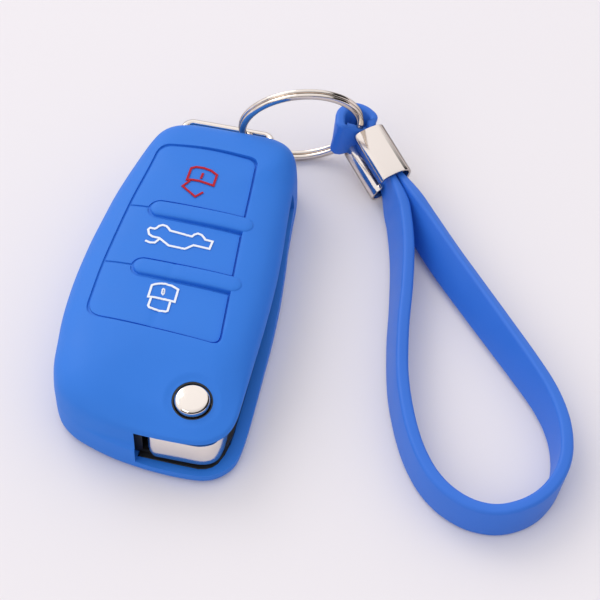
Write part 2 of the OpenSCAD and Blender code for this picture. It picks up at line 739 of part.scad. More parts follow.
// loop route: shares of loop_l along and loop_w across, lean of the band's top in degrees,
// lift over the table as a share of band_w
loop_shares = [
  [0.05, 0.078, 24, 0.06], [0.12, 0.098, 26, 0.03], [0.24, 0.14, 27, 0.01],
  [0.35, 0.225, 26, 0], [0.48, 0.335, 24, 0], [0.6, 0.43, 21, 0], [0.69, 0.485, 18, 0],
  [0.765, 0.5, 15, 0], [0.83, 0.478, 13, 0], [0.89, 0.42, 12, 0], [0.94, 0.32, 10, 0],
  [0.977, 0.18, 7, 0], [0.992, 0.03, 3, 0], [0.988, -0.12, 0, 0], [0.962, -0.26, 2, 0],
  [0.918, -0.37, 4, 0], [0.865, -0.44, 6, 0], [0.805, -0.475, 8, 0], [0.735, -0.483, 10, 0],
  [0.65, -0.463, 12, 0], [0.56, -0.418, 14, 0], [0.44, -0.32, 17, 0], [0.32, -0.2, 20, 0],
  [0.2, -0.105, 22, 0.01], [0.1, -0.06, 24, 0.03], [0.05, -0.045, 24, 0.06]];
loop_d = [cos(loop_turn), sin(loop_turn)];
loop_s = [-loop_d.y, loop_d.x];

function flat(v) = [v.x, v.y];
function rest_z(lean, lift) = (band_w * cos(lean) + band_t * sin(lean)) / 2 + band_w * lift;
function loop_station(s) =
  let (p = flat(clamp_c) + loop_d * (s[0] * loop_l) + loop_s * (s[1] * loop_w))
  [p.x, p.y, rest_z(s[2], s[3]), loop_s.x * sin(s[2]), loop_s.y * sin(s[2]), cos(s[2]), 1];
function clamp_station(s, w, thick) =
  let (p = clamp_c + clamp_a * s + clamp_t * w)
  [p.x, p.y, p.z, clamp_h.x, clamp_h.y, clamp_h.z, thick];

fold_s = clamp_l + mouth_gap;
butt = clamp_l / 2;
mouth_in = clamp_l * 0.12;
route = concat(
  [for (s = [butt + mouth_step, clamp_l - mouth_in, clamp_l, clamp_l + 2 * mouth_step])
    clamp_station(s, -layer_off, squeeze_share)],
  [for (a = [-90 : 30 : 90])
    clamp_station(fold_s + fold_r * cos(a), fold_r * sin(a) - mouth_side, squeeze_share)],
  [for (s = [clamp_l + 2 * mouth_step, clamp_l, clamp_l - mouth_in, mouth_in, -mouth_step])
    clamp_station(s, layer_off, squeeze_share)],
  [for (s = loop_shares) loop_station(s)],
  [for (s = [-mouth_step, mouth_in, butt - mouth_step])
    clamp_station(s, -layer_off, squeeze_share)]);
strap_line = open_list(route, 2);

function band_section(i) =
  let (q = strap_line, n = len(q), a = q[max(i - 1, 0)], b = q[min(i + 1, n - 1)])
  let (t = unit([b[0] - a[0], b[1] - a[1], b[2] - a[2]]), u0 = [q[i][3], q[i][4], q[i][5]])
  let (u = unit(u0 - (u0 * t) * t), s = cross(t, u))
  let (w = band_w / 2, k = band_t * q[i][6] / 2, e = band_edge)
  let (c = [q[i][0], q[i][1], q[i][2]])
  [for (v = [[w - e, k], [w, k - e], [w, e - k], [w - e, -k], [e - w, -k], [-w, e - k],
    [-w, k - e], [e - w, k]]) c + u * v.x + s * v.y];

module strap() color("royalblue")
  skin([for (i = [0 : len(strap_line) - 1]) band_section(i)]);

module rounded(x, y, r) {
  translate([-x / 2 + r, -y / 2]) square([x - 2 * r, y]);
  translate([-x / 2, -y / 2 + r]) square([x, y - 2 * r]);
  for (i = [-1, 1], j = [-1, 1])
    translate([i * (x / 2 - r), j * (y / 2 - r)]) circle(r, $fn = 24);
}

module strap_clamp() color("silver") {
  out_w = clamp_in_w + 2 * clamp_sheet;
  out_t = clamp_in_t + 2 * clamp_sheet;
  multmatrix([
    [clamp_h.x, clamp_t.x, clamp_a.x, clamp_c.x],
    [clamp_h.y, clamp_t.y, clamp_a.y, clamp_c.y],
    [clamp_h.z, clamp_t.z, clamp_a.z, clamp_c.z]])
    linear_extrude(clamp_l) difference() {
      rounded(out_w, out_t, clamp_round);
      rounded(clamp_in_w, clamp_in_t, clamp_round - clamp_sheet);
      translate([seam_at - clamp_seam / 2, -out_t]) square([clamp_seam, out_t]);
    }
}

cover();
unlock_pad();
boot_pad();
lock_pad();
front_shell();
rear_shell();
keypad();
unlock_key();
boot_key();
lock_key();
circuit_board();
tact_switches();
radio_chip();
control_chip();
antenna_coil();
indicator_led();
battery();
battery_clip_plus();
battery_clip_minus();
case_screw();
pivot_post();
blade_hub();
key_blade();
blade_pin();
flip_spring();
release_button();
button_spring();
ring_bail();
split_ring();
strap_clamp();
strap();
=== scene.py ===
"""Silicone cover over a folding key, with its split ring, clamp and wrist strap.

Lengths in the tables are millimetres, and metres() takes them to the scene.
"""

import math

import bmesh
import bpy
from mathutils import Matrix, Vector
from mathutils.bvhtree import BVHTree


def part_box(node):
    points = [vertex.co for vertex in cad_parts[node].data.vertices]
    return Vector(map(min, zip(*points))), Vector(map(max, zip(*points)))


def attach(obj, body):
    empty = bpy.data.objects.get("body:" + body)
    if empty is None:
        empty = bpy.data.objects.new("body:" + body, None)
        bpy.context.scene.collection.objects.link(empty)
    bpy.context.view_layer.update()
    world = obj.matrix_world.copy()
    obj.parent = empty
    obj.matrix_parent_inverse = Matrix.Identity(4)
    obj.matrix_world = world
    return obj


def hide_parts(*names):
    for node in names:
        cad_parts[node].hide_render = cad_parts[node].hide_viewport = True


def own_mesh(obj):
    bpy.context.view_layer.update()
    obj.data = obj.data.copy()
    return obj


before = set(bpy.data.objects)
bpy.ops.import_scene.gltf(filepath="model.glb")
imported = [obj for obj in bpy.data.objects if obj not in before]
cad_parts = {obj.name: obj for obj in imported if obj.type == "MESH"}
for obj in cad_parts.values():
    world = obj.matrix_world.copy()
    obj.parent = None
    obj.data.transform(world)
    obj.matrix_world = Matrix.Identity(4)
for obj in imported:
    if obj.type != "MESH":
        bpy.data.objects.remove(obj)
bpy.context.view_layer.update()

# ---- sizes, as in the part ----

COVER_L, COVER_W, COVER_H = 80.0, 42.4, 17.0
COVER_WALL, COVER_BACK, COVER_FRONT = 1.5, 2.0, 1.7
LIP_OUT, SHOULDER_RUN, CORNER_DROP = 1.0, 11.0, 2.4
SLIT_HIGH, WINDOW_HIGH, LIP_LOW, LIP_HIGH = 10.95, 10.85, 3.0, 6.3
GROOVE_W, BAR_GROOVE, BAR_W = 0.5, 0.12, 3.7
RELEASE_HOLE_D, DISH_D, DISH_DEPTH = 8.0, 11.8, 0.35
PIVOT = (10.6, -29.6)
BAIL_X, BAIL_Y, BAIL_Z, BAIL_W, BAIL_D = -1.4, 44.3, 9.0, 20.4, 1.4

# points of the cover's outline, as shares of its width and length
OUTLINE = [
    (0.462, -0.061), (0.453, 0.049), (0.434, 0.16), (0.413, 0.252), (0.396, 0.338),
    (0.385, 0.399), (0.366, 0.445), (0.328, 0.477), (0.262, 0.494), (0.16, 0.5),
    (0, 0.5), (-0.152, 0.498), (-0.23, 0.492), (-0.293, 0.478), (-0.343, 0.452),
    (-0.38, 0.412), (-0.409, 0.362), (-0.434, 0.302), (-0.459, 0.224), (-0.477, 0.135),
    (-0.491, 0.049), (-0.497, -0.049), (-0.493, -0.129), (-0.484, -0.19), (-0.467, -0.252),
    (-0.446, -0.319), (-0.412, -0.37), (-0.367, -0.408), (-0.292, -0.438), (-0.198, -0.456),
    (-0.094, -0.467), (0.024, -0.474), (0.142, -0.476), (0.259, -0.475), (0.344, -0.468),
    (0.403, -0.45), (0.446, -0.42), (0.465, -0.378), (0.467, -0.309), (0.465, -0.186)]
# how far the lip stands out at each of them, in times LIP_OUT
LIP = [
    0.5, 0.3, 0.12, 0, 0, 0, 0, 0, 0, 0, 0, 0, 0, 0, 0, 0, 0, 0, 0, 0,
    0, 0, 0, 0, 0, 0, 0, 0, 0.05, 0.2, 0.6, 0.95, 1.35, 1.6, 1.7, 1.6, 1.4, 1.05, 0.95, 0.7]
# share of the height, share of the shoulder's run, share of the lip
PROFILE = [
    (0, 0.17, 1), (0.03, 0.07, 1), (0.09, 0.01, 1), (0.3, 0, 1), (0.4, 0, 0.9), (0.46, 0, 0),
    (0.66, 0.03, 0), (0.78, 0.11, 0), (0.885, 0.29, 0), (0.955, 0.59, 0), (0.984, 1, 0),
    (0.9945, 1.4, 0), (0.9985, 1.8, 0), (0.9988, 2, 0)]
# corners of the panel: place as shares, which way an inset moves them, rounding
PANEL = [
    (0.203, 0.385, -1, -1, 0.05), (-0.045, 0.396, 0, -1, 0.12), (-0.297, 0.379, 1, -1, 0.06),
    (-0.342, 0.169, 1, 0, 0.1), (-0.363, -0.041, 1, 0, 0.1), (-0.358, -0.202, 1, 1, 0.08),
    (0.306, -0.215, -1, 1, 0.05), (0.234, 0.169, -1, 0, 0.1)]
# middle along the length, left end and right end across the width, as shares
BARS = [(0.164, -0.226, 0.279), (-0.0275, -0.207, 0.314)]


# ---- curves and lofts ----


def clip(x, low, high):
    return min(max(x, low), high)


def ease(t):
    s = clip(t, 0, 1)
    return s * s * (3 - 2 * s)


def spline_point(a, b, c, d, t):
    """Point at share t between b and c of a smooth curve through four points."""
    return tuple(
        0.5 * (2 * q + (r - p) * t + (2 * p - 5 * q + 4 * r - s) * t * t
               + (3 * q - p - 3 * r + s) * t * t * t)
        for p, q, r, s in zip(a, b, c, d))


def closed_curve(points, count):
    n = len(points)
    return [spline_point(points[i - 1], points[i], points[(i + 1) % n], points[(i + 2) % n],
                         k / count)
            for i in range(n) for k in range(count)]


def open_curve(points, count):
    n = len(points)
    made = [spline_point(points[max(i - 1, 0)], points[i], points[i + 1],
                         points[min(i + 2, n - 1)], k / count)
            for i in range(n - 1) for k in range(count)]
    return made + [points[-1]]


def metres(p):
    return Vector(p) * 0.001


def add_ring(bm, points):
    verts = [bm.verts.new(metres(p)) for p in points]
    return [bm.edges.new((v, w)) for v, w in zip(verts, verts[1:] + verts[:1])]


def add_chain(bm, points):
    """Open line of edges through points; add_ring closes its line."""
    verts = [bm.verts.new(metres(p)) for p in points]
    return [bm.edges.new(pair) for pair in zip(verts, verts[1:])]


def loft(rings, cap=True):
    """Closed skin over rings of points that lie one after the other."""
    bm = bmesh.new()
    loops = [add_ring(bm, r) for r in rings]
    for low, high in zip(loops, loops[1:]):
        bmesh.ops.bridge_loops(bm, edges=low + high)
    if cap:
        for loop in (loops[0], loops[-1]):
            bmesh.ops.contextual_create(bm, geom=loop)
    bmesh.ops.recalc_face_normals(bm, faces=bm.faces)
    return bm


def thicken(bm, faces, way):
    """Gives flat faces a depth: extrudes them and moves the new ones along way."""
    grown = bmesh.ops.extrude_face_region(bm, geom=faces)["geom"]
    bmesh.ops.translate(bm, vec=metres(way),
                        verts=[g for g in grown if isinstance(g, bmesh.types.BMVert)])
    bmesh.ops.recalc_face_normals(bm, faces=bm.faces)
    return bm


def swept(points, way):
    """Block that a flat outline sweeps along way."""
    bm = bmesh.new()
    face = bmesh.ops.contextual_create(bm, geom=add_ring(bm, points))["faces"]
    return thicken(bm, face, way)


def prism(points, low, high):
    """Upright block between two heights over an outline."""
    return swept([(p[0], p[1], low) for p in points], (0, 0, high - low))


def cylinder(x, y, low, high, radius, sides=96):
    bm = bmesh.new()
    bmesh.ops.create_cone(
        bm, cap_ends=True, segments=sides, radius1=radius * 0.001, radius2=radius * 0.001,
        depth=(high - low) * 0.001, matrix=Matrix.Translation(metres((x, y, (low + high) / 2))))
    return bm


def turned(profile, x, y, sides=96):
    """Turned piece: the outline of radius and height spun about an upright axis."""
    bm = bmesh.new()
    verts = [bm.verts.new(metres((x + r, y, z))) for r, z in profile]
    edges = [bm.edges.new((a, b)) for a, b in zip(verts, verts[1:])]
    bmesh.ops.spin(
        bm, geom=verts + edges, angle=2 * math.pi, steps=sides, axis=(0, 0, 1),
        cent=metres((x, y, 0)), use_merge=True)
    bmesh.ops.remove_doubles(bm, verts=bm.verts, dist=1e-8)
    bmesh.ops.recalc_face_normals(bm, faces=bm.faces)
    return bm


def block(low, high):
    bm = bmesh.new()
    size = [h - g for g, h in zip(low, high)]
    middle = [(g + h) / 2 for g, h in zip(low, high)]
    bmesh.ops.create_cube(bm, size=0.001)
    bmesh.ops.scale(bm, vec=size, verts=bm.verts)
    bmesh.ops.translate(bm, vec=metres(middle), verts=bm.verts)
    return bm


# ---- objects ----


def place(name, bm):
    mesh = bpy.data.meshes.new(name)
    bm.to_mesh(mesh)
    bm.free()
    obj = bpy.data.objects.new(name, mesh)
    bpy.context.scene.collection.objects.link(obj)
    return obj


def bake_modifiers(obj):
    """Puts what the modifiers make into the mesh itself."""
    depsgraph = bpy.context.evaluated_depsgraph_get()
    made = bpy.data.meshes.new_from_object(obj.evaluated_get(depsgraph))
    obj.modifiers.clear()
    obj.data = made
    return obj


def combine(obj, bm, operation="DIFFERENCE"):
    """Cuts a bmesh from an object, adds it, or keeps what both hold."""
    tool = place("tool", bm)
    cut = obj.modifiers.new("cut", "BOOLEAN")
    cut.operation = operation
    cut.solver = "EXACT"
    cut.object = tool
    bake_modifiers(obj)
    bpy.data.objects.remove(tool)
    return obj


def soften(obj, width, angle=40, segments=3):
    """Rounds the sharp edges of a moulded or turned piece."""
    bevel = obj.modifiers.new("soften", "BEVEL")
    bevel.width = width * 0.001
    bevel.segments = segments
    bevel.limit_method = "ANGLE"
    bevel.angle_limit = math.radians(angle)
    bevel.harden_normals = False
    return bake_modifiers(obj)


def shade(obj, angle=35):
    """Smooth shading that stays crisp over edges sharper than the angle."""
    bm = bmesh.new()
    bm.from_mesh(obj.data)
    bmesh.ops.remove_doubles(bm, verts=bm.verts, dist=1e-7)
    for face in bm.faces:
        face.smooth = True
    for edge in bm.edges:
        edge.smooth = edge.calc_face_angle(0) < math.radians(angle)
    bm.to_mesh(obj.data)
    bm.free()
    return obj


def finish_piece(obj, body, slot, material, *nodes):
    obj.data.materials.clear()
    obj.data.materials.append(material)
    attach(obj, body)
    if nodes:
        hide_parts(*nodes)
    return obj


# ---- cover form ----

SPINE_X = -COVER_W * 0.02
SPINE_Y = (COVER_L - COVER_W) / 2


def form_rings(inset, low, high, around, up):
    """Rings of the moulded form, from its back to the crown of its front."""
    outline = closed_curve(
        [(x * COVER_W, y * COVER_L, max(l, 0) * LIP_OUT) for (x, y), l in zip(OUTLINE, LIP)],
        around)
    rings = []
    for share, run, lip_share in open_curve(PROFILE, up):
        ring = []
        for x, y, lip in outline:
            centre = Vector((SPINE_X, clip(y, -SPINE_Y, SPINE_Y)))
            way = Vector((x, y)) - centre
            reach = way.length
            lip_here = 0 if inset > 0 else lip * clip(lip_share, 0, 1)
            # the shoulder runs half as far in at the ring end
            full = 1 - 0.5 * ease((y / COVER_L - 0.33) / 0.14)
            out = reach + lip_here - inset - min(run, 1) * SHOULDER_RUN * full
            out *= 1 - 0.95 * max(run - 1, 0)
            p = centre + way.normalized() * out
            # the front falls away towards the button's corner
            fall = ease((-p.y / COVER_L - 0.17) / 0.22) * ease((p.x / COVER_W + 0.33) / 0.5)
            ring.append((p.x, p.y, low + share * (high - low)
                         - CORNER_DROP * fall * ease((share - 0.62) / 0.3)))
        rings.append(ring)
    return rings


CORNER_STEPS = 8


def rounded_outline(corners):
    """Outline with each corner rounded over its own length."""
    points = []
    for i, (x, y, r) in enumerate(corners):
        c = Vector((x, y))
        a = Vector(corners[i - 1][:2])
        b = Vector(corners[(i + 1) % len(corners)][:2])
        u = c + r * (a - c).normalized()
        v = c + r * (b - c).normalized()
        for k in range(CORNER_STEPS + 1):
            t = k / CORNER_STEPS
            points.append((1 - t) ** 2 * u + 2 * t * (1 - t) * c + t * t * v)
    return points


def panel_outline(inset):
    return rounded_outline([
        (x * COVER_W + sx * inset, y * COVER_L + sy * inset, r * COVER_W)
        for x, y, sx, sy, r in PANEL])


def bar_outline(bar, grow, down=0):
    """Outline of a bar, or of the groove round it, which is wider on its lower side."""
    y, left, right = bar[0] * COVER_L - down, bar[1] * COVER_W, bar[2] * COVER_W
    r = BAR_W / 2 + grow
    ends = [(left + BAR_W / 2, range(90, 271, 10)), (right - BAR_W / 2, range(-90, 91, 10))]
    return [(x + r * math.cos(math.radians(a)), y + r * math.sin(math.radians(a)))
            for x, angles in ends for a in angles]


skin_form = loft(form_rings(0, 0, COVER_H, 5, 4))
skin_tree = BVHTree.FromBMesh(skin_form)
ABOVE = 60  # height over the table from which the rays look down


def skin_height(x, y, blur=0.9):
    """Mean height of the front of the moulded form round a point, in millimetres.

    Each of the five rays adds a fifth; one that misses counts as half the cover's height.
    """
    total = 0
    for dx, dy in ((0, 0), (blur, 0), (-blur, 0), (0, blur), (0, -blur)):
        hit = skin_tree.ray_cast(metres((x + dx, y + dy, ABOVE)), Vector((0, 0, -1)))[0]
        total += hit.z * 200 if hit else COVER_H * 0.1
    return total


# ---- materials ----


def node(tree, kind, **values):
    made = tree.nodes.new(kind)
    for name, value in values.items():
        setattr(made, name, value)
    return made


def grain_group():
    """Fine moulded grain: a bump height and a slow colour change, from noise."""
    group = bpy.data.node_groups.new("moulded_grain", "ShaderNodeTree")
    face = group.interface
    for name, value in (("Fine Scale", 9000.0), ("Broad Scale", 120.0), ("Specks", 0.0)):
        face.new_socket(name, in_out="INPUT", socket_type="NodeSocketFloat").default_value = value
    for name in ("Height", "Tone", "Speck Mask"):
        face.new_socket(name, in_out="OUTPUT", socket_type="NodeSocketFloat")
    given = node(group, "NodeGroupInput")
    out = node(group, "NodeGroupOutput")
    coords = node(group, "ShaderNodeTexCoord")
    fine = node(group, "ShaderNodeTexNoise")
    fine.inputs["Detail"].default_value = 3
    broad = node(group, "ShaderNodeTexNoise")
    broad.inputs["Detail"].default_value = 2
    specks = node(group, "ShaderNodeTexVoronoi")
    specks.inputs["Scale"].default_value = 260
    near = node(group, "ShaderNodeMath", operation="LESS_THAN")
    few = node(group, "ShaderNodeTexNoise")
    few.inputs["Scale"].default_value = 90
    kept = node(group, "ShaderNodeMath", operation="GREATER_THAN")
    kept.inputs[1].default_value = 0.6
    both = node(group, "ShaderNodeMath", operation="MULTIPLY")
    link = group.links.new
    for texture in (fine, broad, specks, few):
        link(coords.outputs["Object"], texture.inputs["Vector"])
    link(given.outputs["Fine Scale"], fine.inputs["Scale"])
    link(given.outputs["Broad Scale"], broad.inputs["Scale"])
    link(specks.outputs["Distance"], near.inputs[0])
    link(given.outputs["Specks"], near.inputs[1])
    link(few.outputs["Fac"], kept.inputs[0])
    link(near.outputs[0], both.inputs[0])
    link(kept.outputs[0], both.inputs[1])
    link(fine.outputs["Fac"], out.inputs["Height"])
    link(broad.outputs["Fac"], out.inputs["Tone"])
    link(both.outputs[0], out.inputs["Speck Mask"])
    return group


GRAIN = grain_group()


def moulded(name, colour, shaded, roughness, grain=0.08, specks=0.0, fine=9000.0,
            metallic=0.0, rough_spread=0.08, specular=0.5):
    """Material with a fine grain, a slow drift of tone, and a few light specks of dust."""
    material = bpy.data.materials.new(name)
    material.use_nodes = True
    tree = material.node_tree
    shader = tree.nodes["Principled BSDF"]
    shader.inputs["Metallic"].default_value = metallic
    shader.inputs["Specular IOR Level"].default_value = specular
    grains = node(tree, "ShaderNodeGroup", node_tree=GRAIN)
    grains.inputs["Fine Scale"].default_value = fine
    grains.inputs["Specks"].default_value = specks
    tones = node(tree, "ShaderNodeMix", data_type="RGBA")
    tones.inputs["A"].default_value = (*colour, 1)
    tones.inputs["B"].default_value = (*shaded, 1)
    dusty = node(tree, "ShaderNodeMix", data_type="RGBA")
    dusty.inputs["B"].default_value = (0.6, 0.68, 0.8, 1)
    rough = node(tree, "ShaderNodeMapRange")
    rough.inputs["To Min"].default_value = roughness - rough_spread
    rough.inputs["To Max"].default_value = roughness + rough_spread
    bump = node(tree, "ShaderNodeBump")
    bump.inputs["Strength"].default_value = grain
    bump.inputs["Distance"].default_value = 0.0001
    link = tree.links.new
    link(grains.outputs["Tone"], tones.inputs["Factor"])
    link(tones.outputs["Result"], dusty.inputs["A"])
    link(grains.outputs["Speck Mask"], dusty.inputs["Factor"])
    link(dusty.outputs["Result"], shader.inputs["Base Color"])
    link(grains.outputs["Tone"], rough.inputs["Value"])
    link(rough.outputs["Result"], shader.inputs["Roughness"])
    link(grains.outputs["Height"], bump.inputs["Height"])
    link(bump.outputs["Normal"], shader.inputs["Normal"])
    return material


silicone = moulded("blue_silicone", (0.016, 0.175, 0.68), (0.022, 0.19, 0.72), 0.6,
                   grain=0.1, specks=0.03, specular=0.42)
strap_silicone = moulded("strap_silicone", (0.022, 0.15, 0.64), (0.028, 0.165, 0.68), 0.48,
                         grain=0.07, specks=0.02, specular=0.42)
black_plastic = moulded("black_plastic", (0.012, 0.012, 0.014), (0.018, 0.018, 0.02), 0.42,
                        grain=0.2)
key_rubber = moulded("key_rubber", (0.05, 0.053, 0.06), (0.06, 0.063, 0.07), 0.6)
pad_rubber = moulded("keypad_rubber", (0.09, 0.1, 0.11), (0.11, 0.115, 0.13), 0.6)
board_mask = moulded("board_mask", (0.02, 0.18, 0.07), (0.025, 0.22, 0.09), 0.35)
pale_plastic = moulded("switch_plastic", (0.6, 0.6, 0.58), (0.66, 0.66, 0.64), 0.35)
chip_plastic = moulded("chip_plastic", (0.03, 0.03, 0.03), (0.045, 0.045, 0.045), 0.5)
led_plastic = moulded("led_plastic", (0.5, 0.03, 0.02), (0.6, 0.05, 0.03), 0.2)
copper = moulded("antenna_copper", (0.72, 0.32, 0.16), (0.78, 0.38, 0.2), 0.35, metallic=1)
white_print = moulded("white_print", (0.84, 0.87, 0.95), (0.82, 0.85, 0.9), 0.5, grain=0.05)
red_print = moulded("red_print", (0.42, 0.004, 0.012), (0.48, 0.006, 0.02), 0.6, grain=0.05,
                    specular=0.25)


def polished(name, colour, roughness, fine=2600.0, grain=0.02, spread=0.03, edge=1.0):
    """Plated or milled metal, with a faint unevenness of its shine and a darker edge: its shine
    is tinted dark at grazing angles, a painted dark reflection.
    """
    material = moulded(name, colour, [c * 0.96 for c in colour], roughness, grain=grain,
                       fine=fine, metallic=1, rough_spread=spread)
    shader = material.node_tree.nodes["Principled BSDF"]
    # the edge tint darkens the grazing shine: painted dark reflection along the rims
    shader.inputs["Specular Tint"].default_value = (edge, edge, edge, 1)
    return material


# low edge values paint dark reflections along the rims of the button, bail, ring and clamp
chrome = polished("bright_chrome", (0.93, 0.84, 0.76), 0.08, edge=0.1)
ring_chrome = polished("ring_chrome", (0.9, 0.81, 0.73), 0.1, edge=0.02)
clamp_chrome = polished("clamp_chrome", (0.9, 0.81, 0.74), 0.13, grain=0.05, edge=0.05)
hub_chrome = polished("hub_chrome", (0.86, 0.8, 0.76), 0.16, grain=0.03)
blade_steel = polished("blade_steel", (0.6, 0.6, 0.6), 0.3, grain=0.1)
cell_steel = polished("cell_steel", (0.68, 0.68, 0.67), 0.25, grain=0.06)
brass = polished("contact_brass", (0.8, 0.6, 0.3), 0.25)

# ---- camera ----

VIEW_TURN = math.radians(13.5)
VIEW_HEIGHT = math.radians(52)
VIEW_FAR = 453.608
VIEW_ORIGIN = Vector((-24.01996, -3.98703))
VIEW_FOCAL, VIEW_SIDE = 2200, 600  # focal length and side of the view, in pixels


def from_view(x, y, z):
    """Point given square to the camera's view, in the part's own frame."""
    flat = Vector((x, y)) - VIEW_ORIGIN
    across = Vector((math.cos(VIEW_TURN), -math.sin(VIEW_TURN)))
    along = Vector((math.sin(VIEW_TURN), math.cos(VIEW_TURN)))
    return metres((flat.dot(across), flat.dot(along), z))


camera_data = bpy.data.cameras.new("camera")
camera_data.sensor_width = 36
camera_data.lens = camera_data.sensor_width * VIEW_FOCAL / VIEW_SIDE
camera_data.clip_start = 0.01
camera = bpy.data.objects.new("camera", camera_data)
camera.location = from_view(
    0, -VIEW_FAR * math.cos(VIEW_HEIGHT), VIEW_FAR * math.sin(VIEW_HEIGHT))
camera.rotation_mode = "QUATERNION"
camera.rotation_quaternion = (from_view(0, 0, 0) - camera.location).to_track_quat("-Z", "Y")
bpy.context.scene.collection.objects.link(camera)
bpy.context.scene.camera = camera
bpy.context.scene.view_settings.view_transform = "Standard"

# ---- floor and light ----

floor_bm = bmesh.new()
bmesh.ops.create_grid(floor_bm, x_segments=1, y_segments=1, size=1.6)
floor = place("floor", floor_bm)
floor_material = bpy.data.materials.new("pale_floor")
floor_material.use_nodes = True
floor_shader = floor_material.node_tree.nodes["Principled BSDF"]
floor_shader.inputs["Base Color"].default_value = (0.83, 0.79, 0.81, 1)
floor_shader.inputs["Roughness"].default_value = 0.7
floor.data.materials.append(floor_material)

SKY_BRIGHT, SKY_LOW, SKY_DARK = 0.98, 0.68, 0.04


def build_world():
    """Pale studio dome; what metal mirrors low at its front and right is a dark room."""
    world = bpy.data.worlds.new("studio")
    bpy.context.scene.world = world
    world.use_nodes = True
    tree = world.node_tree
    link = tree.links.new
    light = tree.nodes["Background"]
    light.inputs["Color"].default_value = (0.97, 0.97, 1, 1)
    coords = node(tree, "ShaderNodeTexCoord").outputs["Generated"]

    def facing(way, low, high, dim, bright):
        """Value that goes from dim to bright as a direction comes round to way."""
        turned_to = node(tree, "ShaderNodeVectorMath", operation="DOT_PRODUCT")
        turned_to.inputs[1].default_value = way
        value = node(tree, "ShaderNodeMapRange", interpolation_type="SMOOTHSTEP")
        for name, number in zip(("From Min", "From Max", "To Min", "To Max"),
                                (low, high, dim, bright)):
            value.inputs[name].default_value = number
        link(coords, turned_to.inputs[0])
        link(turned_to.outputs["Value"], value.inputs["Value"])
        return value.outputs["Result"]

    def maths(operation, a, b):
        made = node(tree, "ShaderNodeMath", operation=operation)
        for given, socket in zip((a, b), made.inputs):
            if isinstance(given, float):
                socket.default_value = given
            else:
                link(given, socket)
        return made.outputs[0]

    dome = maths("MULTIPLY", facing((0, 0, 1), 0.0, 0.34, SKY_LOW, SKY_BRIGHT),
                 facing((-0.75, 0.66, 0), -1, 1, 0.78, 1.14))
    room = maths("MULTIPLY", facing((0, 0, 1), 0.6, 0.48, 0, 1),
                 facing((0.8, -0.6, 0), -0.35, -0.05, 0, 1))
    mirrored = node(tree, "ShaderNodeLightPath").outputs["Is Glossy Ray"]
    dim = maths("SUBTRACT", 1.0, maths("MULTIPLY", room, maths("MULTIPLY", mirrored,
                                                               1 - SKY_DARK)))
    link(maths("MULTIPLY", dome, dim), light.inputs["Strength"])


build_world()


def lamp(name, at, aim, size, power, colour=(1, 1, 1)):
    data = bpy.data.lights.new(name, "AREA")
    data.shape = "RECTANGLE"
    data.size, data.size_y = size
    data.energy = power
    data.color = colour
    obj = bpy.data.objects.new(name, data)
    obj.location = at
    obj.rotation_mode = "QUATERNION"
    obj.rotation_quaternion = (Vector(aim) - Vector(at)).to_track_quat("-Z", "Y")
    bpy.context.scene.collection.objects.link(obj)


lamp("window_light", (-0.9, 0.75, 1.0), (0, 0, 0), (0.9, 0.9), 4.9, (1, 0.97, 0.94))
lamp("front_light", (-0.5, -1.0, 0.75), (0, 0, 0), (0.8, 0.5), 1.6, (1, 0.98, 0.97))

# ---- silicone cover ----


PAST = 4  # how far a cut runs past the cover's end
BAIL_ROOM = 0.1
LIP_LEFT = 1.25
LIP_INSIDE = [
    (LIP_LEFT, -36), (LIP_LEFT, -37.45), (8, -37.6), (13.6, -37.65), (15, -37.3), (16.1, -36.6),
    (16.9, -35.6), (17.7, -33.3), (18.2, -30.2), (16.5, -29), (10, -33)]


DISH_REACH, DISH_LOW = 0.009, 0.011  # metres: where the mesh is made finer, and down to where


def press_dish(bm):
    """Soft hollow round the release button's hole."""
    pivot = metres((*PIVOT, COVER_H))

    def near(face):
        at = face.calc_center_median()
        return (at - pivot).xy.length < DISH_REACH and at.z > DISH_LOW

    for _ in range(3):
        edges = [e for e in bm.edges if any(near(f) for f in e.link_faces)]
        bmesh.ops.subdivide_edges(bm, edges=edges, cuts=1, use_grid_fill=True)
    for v in bm.verts:
        out = (v.co - pivot).xy.length * 1000
        if v.co.z > DISH_LOW and out < DISH_D / 2:
            t = (out - RELEASE_HOLE_D / 2) / (DISH_D / 2 - RELEASE_HOLE_D / 2)
            v.co.z -= DISH_DEPTH * 0.001 * (1 - ease(t))


